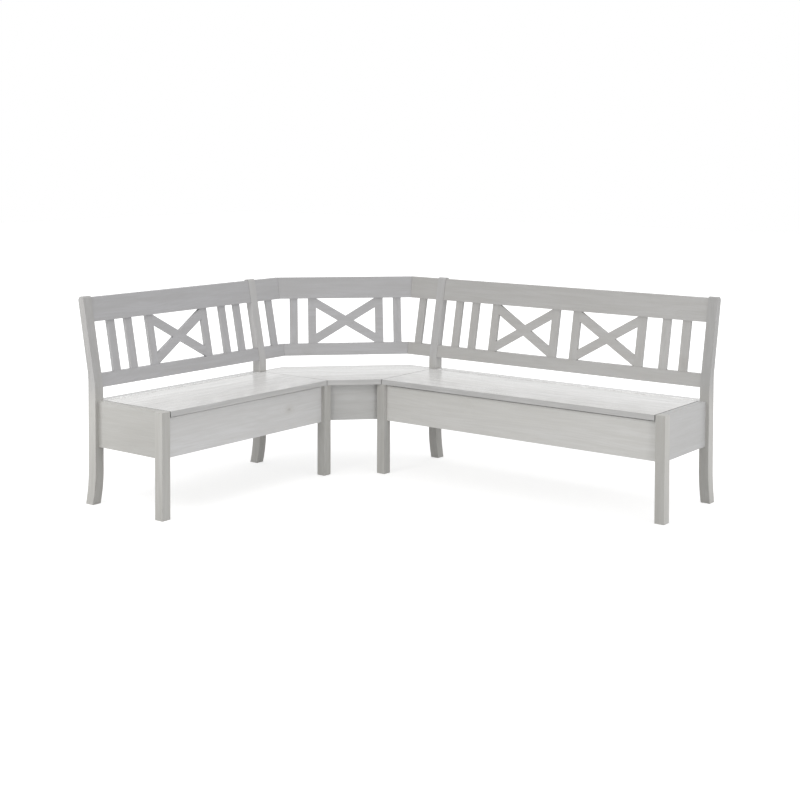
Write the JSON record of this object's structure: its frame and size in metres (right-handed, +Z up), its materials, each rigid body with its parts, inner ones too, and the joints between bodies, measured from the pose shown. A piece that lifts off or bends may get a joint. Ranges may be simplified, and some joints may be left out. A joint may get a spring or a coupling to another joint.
{
  "type": "corner storage bench",
  "caption": "Corner bench with hinged lids over storage chests, a corner seat, and a leaning slatted back with crossed bars.",
  "frame": {"origin": "centre of the footprint of the whole bench's box, on the floor", "axes": "+X along the long bench away from the corner, +Y from the long bench's front to its back, +Z up; the short bench runs towards -Y with its back at -X"},
  "size_m": [2.184, 1.745, 0.898],
  "materials": {
    "glazed_board": "pale grey-white glaze on fine-grained softwood, satin",
    "seat_board": "pale grey-white glaze on fine-grained softwood, satin",
    "raw_board": "pale glaze, matt",
    "hinge_metal": "pale satin metal"
  },
  "bodies": {
    "frame": {"corner_apron": "glazed_board", "corner_cross_frame": "glazed_board", "corner_left_bottom_rail": "glazed_board", "corner_left_inner_panel": "glazed_board", "corner_left_inner_slat": "glazed_board", "corner_left_leg": "glazed_board", "corner_left_outer_slat": "glazed_board", "corner_left_post": "glazed_board", "corner_left_top_rail": "glazed_board", "corner_middle_bottom_rail": "glazed_board", "corner_middle_top_rail": "glazed_board", "corner_right_bottom_rail": "glazed_board", "corner_right_inner_panel": "glazed_board", "corner_right_inner_slat": "glazed_board", "corner_right_leg": "glazed_board", "corner_right_outer_slat": "glazed_board", "corner_right_post": "glazed_board", "corner_right_top_rail": "glazed_board", "corner_seat": "seat_board", "left_bottom_rail": "glazed_board", "left_cross_1": "glazed_board", "left_end_leg": "glazed_board", "left_end_post": "glazed_board", "left_floor_panel": "raw_board", "left_front_panel": "glazed_board", "left_hinge_fixed_leaf": "hinge_metal", "left_hinge_strip": "seat_board", "left_rear_panel": "glazed_board", "left_side_panel": "glazed_board", "left_slat_1": "glazed_board", "left_slat_2": "glazed_board", "left_slat_3": "glazed_board", "left_slat_4": "glazed_board", "left_stile_1": "glazed_board", "left_stile_2": "glazed_board", "left_top_rail": "glazed_board", "right_bottom_rail": "glazed_board", "right_cross_1": "glazed_board", "right_cross_2": "glazed_board", "right_end_leg": "glazed_board", "right_end_post": "glazed_board", "right_floor_panel": "raw_board", "right_front_panel": "glazed_board", "right_hinge_fixed_leaf": "hinge_metal", "right_hinge_strip": "seat_board", "right_rear_panel": "glazed_board", "right_side_panel": "glazed_board", "right_slat_1": "glazed_board", "right_slat_2": "glazed_board", "right_slat_3": "glazed_board", "right_slat_4": "glazed_board", "right_stile_1": "glazed_board", "right_stile_2": "glazed_board", "right_stile_3": "glazed_board", "right_stile_4": "glazed_board", "right_top_rail": "glazed_board"},
    "left_lid_body": {"left_lid": "seat_board", "left_hinge_lid_leaf": "hinge_metal"},
    "right_lid_body": {"right_lid": "seat_board", "right_hinge_lid_leaf": "hinge_metal"}
  },
  "joints": [
    {"name": "left_lid_hinge", "type": "hinge", "parent": "frame", "child": "left_lid_body", "pos_m": [-0.978, -0.34, 0.4508], "axis": [0, -1, 0], "range_deg": [0, 93]},
    {"name": "right_lid_hinge", "type": "hinge", "parent": "frame", "child": "right_lid_body", "pos_m": [0.34, 0.7585, 0.4508], "axis": [-1, 0, 0], "range_deg": [0, 93]}
  ]
}
